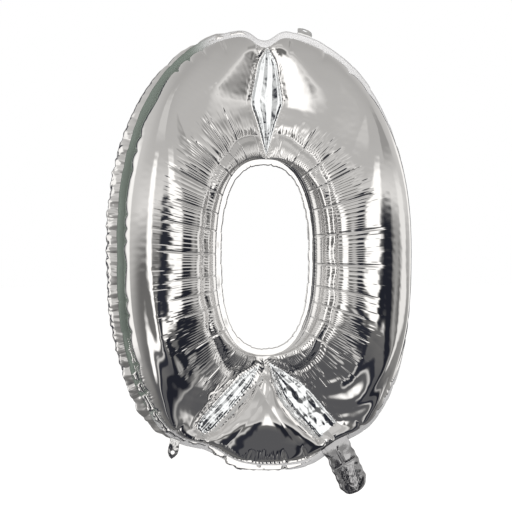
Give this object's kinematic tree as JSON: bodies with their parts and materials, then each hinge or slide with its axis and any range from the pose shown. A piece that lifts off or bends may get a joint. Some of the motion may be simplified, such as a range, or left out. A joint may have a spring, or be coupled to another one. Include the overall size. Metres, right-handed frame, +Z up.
{
  "type": "foil number balloon",
  "caption": "Silver foil balloon in the shape of the digit zero, inflated, with welded darts, a filling neck with an inner valve, and hanging tabs with punched holes.",
  "frame": {"origin": "centre of the punched hole in the top hanging tab, from which the balloon hangs", "axes": "+X to the right as seen from the front, +Y to the back, +Z up; the flat seam lies in a plane of constant Y"},
  "size_m": [0.2407, 0.0838, 0.3715],
  "materials": {
    "foil": "mirror-like metallised film with fine creases",
    "seam": "satin, heat-sealed",
    "valve_film": "clear, glossy",
    "tab": "creased metallised film"
  },
  "bodies": {
    "envelope": {"front_panel": "foil", "back_panel": "foil", "outer_seam_weld": "seam", "hole_seam_weld": "seam", "top_dart": "seam", "top_dart_tip": "seam", "left_dart": "seam", "left_dart_tip": "seam", "right_dart": "seam", "right_dart_tip": "seam", "tongue_front_film": "valve_film", "tongue_back_film": "valve_film", "tongue_side_seals": "valve_film"},
    "neck": {"neck_front_foil": "foil", "neck_back_foil": "foil", "neck_upper_weld": "seam", "neck_lower_weld": "seam", "valve_front_film": "valve_film", "valve_back_film": "valve_film", "valve_side_seals": "valve_film"},
    "top_tab": {"top_hang_tab": "tab"},
    "lower_tab": {"lower_hang_tab": "tab"}
  },
  "joints": [
    {"name": "neck_fold", "type": "hinge", "parent": "envelope", "child": "neck", "pos_m": [0.0262, -0.00563, -0.33422], "axis": [0.8829, 0, 0.4695], "range_deg": [-90, 90], "stiffness_Nm_per_rad": 0.0002},
    {"name": "top_tab_fold", "type": "hinge", "parent": "envelope", "child": "top_tab", "pos_m": [-0.00097, -0.00563, -0.0031], "axis": [-0.9543, 0, 0.2989], "range_deg": [-150, 25], "stiffness_Nm_per_rad": 0.0001},
    {"name": "lower_tab_fold", "type": "hinge", "parent": "envelope", "child": "lower_tab", "pos_m": [-0.10451, -0.00563, -0.32606], "axis": [0.9781, 0, -0.2079], "range_deg": [-90, 90], "stiffness_Nm_per_rad": 0.0001}
  ]
}
